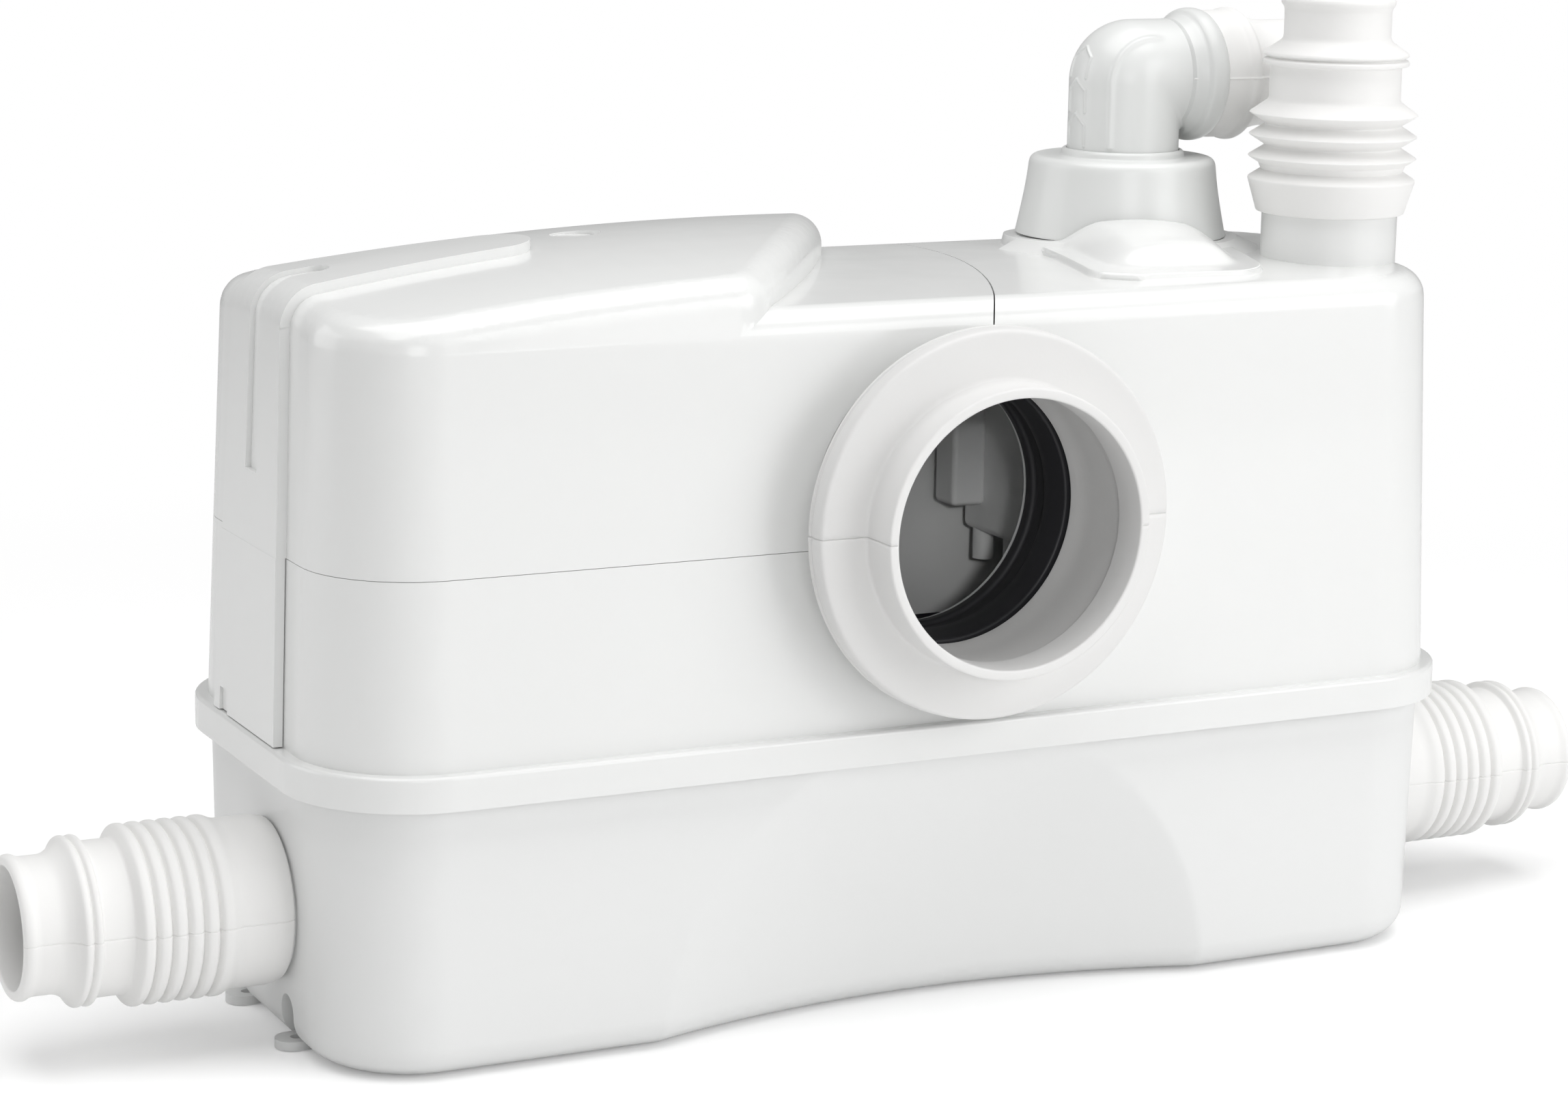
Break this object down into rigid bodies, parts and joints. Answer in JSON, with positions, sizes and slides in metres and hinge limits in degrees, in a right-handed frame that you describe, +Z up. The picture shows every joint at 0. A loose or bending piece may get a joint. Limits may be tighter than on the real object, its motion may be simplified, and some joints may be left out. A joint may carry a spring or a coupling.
{
  "type": "waste water pump",
  "caption": "Compact waste water lifting pump: lidded tank with a toilet pan collar, ribbed inlet sleeves, swivelling discharge elbow and a lift-off hood over its motor",
  "frame": {"origin": "centre of the tank's base, on the floor", "axes": "X along the body towards the top inlet, Y away from the pan side, Z up"},
  "size_m": [0.6064, 0.21, 0.3411],
  "materials": {
    "cover_plastic": "gloss white moulded plastic",
    "tank_plastic": "satin white moulded plastic",
    "sleeve_rubber": "matte ivory white rubber",
    "elbow_plastic": "satin grey white plastic",
    "seal_rubber": "matte black rubber",
    "chamber_plastic": "matte grey white plastic",
    "flap_rubber": "matte black rubber",
    "steel": "plain steel",
    "aluminium": "cast aluminium",
    "laminations": "stacked electrical steel",
    "copper": "enamelled copper wire",
    "pump_plastic": "black glass filled plastic",
    "carbon": "carbon and ceramic",
    "board": "green circuit board",
    "control_plastic": "dark grey plastic",
    "vent_plastic": "dark grey plastic with carbon"
  },
  "bodies": {
    "station": {"tank": "tank_plastic", "tank_gasket": "seal_rubber", "main_cover": "cover_plastic", "pan_collar": "sleeve_rubber", "pan_seal_ring": "seal_rubber", "inlet_sleeve_left": "sleeve_rubber", "inlet_sleeve_right": "sleeve_rubber", "inlet_sleeve_top": "sleeve_rubber", "discharge_boot": "elbow_plastic", "elbow_spacer_ring": "chamber_plastic", "valve_chamber": "chamber_plastic", "chamber_screws": "steel", "motor_gasket": "seal_rubber", "motor_flange": "aluminium", "motor_screws": "steel", "lower_bearing": "steel", "upper_bearing": "steel", "motor_can": "steel", "motor_end_cap": "aluminium", "stator_core": "laminations", "stator_winding": "copper", "pump_column": "pump_plastic", "shaft_seal": "carbon", "pump_housing": "pump_plastic", "pump_screws": "steel", "strainer_ring": "steel", "discharge_pipe": "pump_plastic", "level_tube": "pump_plastic", "level_membrane": "flap_rubber", "level_switch_body": "control_plastic", "microswitch": "control_plastic", "control_board": "board", "run_capacitor": "aluminium", "terminal_block": "vent_plastic", "cable_gland": "control_plastic", "gland_nut": "control_plastic", "vent_filter": "vent_plastic"},
    "hood": {"motor_hood": "cover_plastic", "access_plug": "cover_plastic"},
    "rotor": {"motor_shaft": "steel", "rotor_core": "laminations", "rotor_end_rings": "aluminium", "impeller": "pump_plastic", "cutter_rotor": "steel"},
    "elbow": {"discharge_elbow": "elbow_plastic", "outlet_sleeve": "sleeve_rubber"},
    "flap_left": {"side_flap_left": "flap_rubber"},
    "flap_right": {"side_flap_right": "flap_rubber"},
    "check_flap": {"check_valve_flap": "flap_rubber"},
    "plunger": {"level_plunger": "control_plastic"}
  },
  "joints": [
    {"name": "hood_lift", "type": "slide", "parent": "station", "child": "hood", "axis": [0, 0, 1], "range_m": [0, 0.15]},
    {"name": "shaft_spin", "type": "hinge", "parent": "station", "child": "rotor", "pos_m": [-0.093, 0.0177, 0], "axis": [0, 0, 1], "continuous": true},
    {"name": "elbow_swivel", "type": "hinge", "parent": "station", "child": "elbow", "pos_m": [0.1313, 0.03, 0], "axis": [0, 0, 1], "range_deg": [0, 270]},
    {"name": "left_flap_hinge", "type": "hinge", "parent": "station", "child": "flap_left", "pos_m": [-0.20295, -0.012, 0.0768], "axis": [0, -1, 0], "range_deg": [0, 65]},
    {"name": "right_flap_hinge", "type": "hinge", "parent": "station", "child": "flap_right", "pos_m": [0.20295, -0.012, 0.0768], "axis": [0, 1, 0], "range_deg": [0, 65]},
    {"name": "check_flap_hinge", "type": "hinge", "parent": "station", "child": "check_flap", "pos_m": [0.1313, 0.057, 0.14455], "axis": [-1, 0, 0], "range_deg": [0, 65]},
    {"name": "plunger_slide", "type": "slide", "parent": "station", "child": "plunger", "axis": [0, 0, 1], "range_m": [0, 0.002], "stiffness_N_per_m": 100, "springref_m": -0.002}
  ]
}
